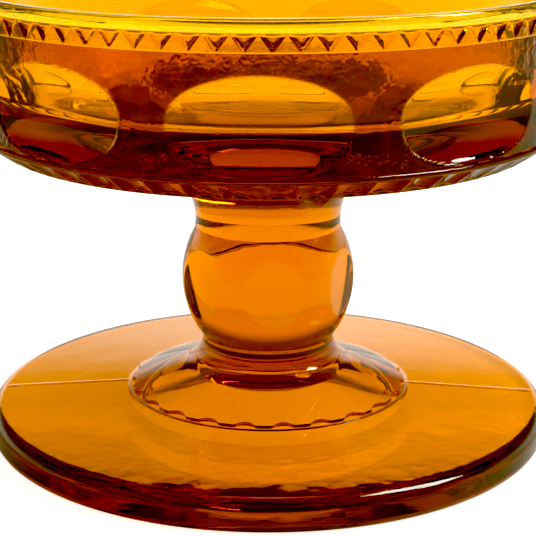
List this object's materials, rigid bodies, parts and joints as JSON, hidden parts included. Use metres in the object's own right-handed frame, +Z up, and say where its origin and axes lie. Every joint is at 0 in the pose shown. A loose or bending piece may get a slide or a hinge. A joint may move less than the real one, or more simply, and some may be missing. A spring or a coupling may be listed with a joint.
{
  "type": "footed glass candle bowl",
  "caption": "Amber pressed-glass candle bowl on a knopped stem and broad foot, with thumbprints round the wall and a crown of teeth under the lip.",
  "frame": {"origin": "on the axis, at the flat underside of the foot", "axes": "+Z up along the axis, -Y towards a thumbprint"},
  "size_m": [0.1158, 0.1158, 0.0884],
  "materials": {
    "amber_glass": "polished"
  },
  "bodies": {
    "root": {"foot_disc": "amber_glass", "foot_skirt": "amber_glass", "stem_neck": "amber_glass", "stem_knop": "amber_glass", "stem_collar": "amber_glass", "bowl_base": "amber_glass", "bowl_body": "amber_glass", "rim_crown": "amber_glass"}
  },
  "joints": []
}
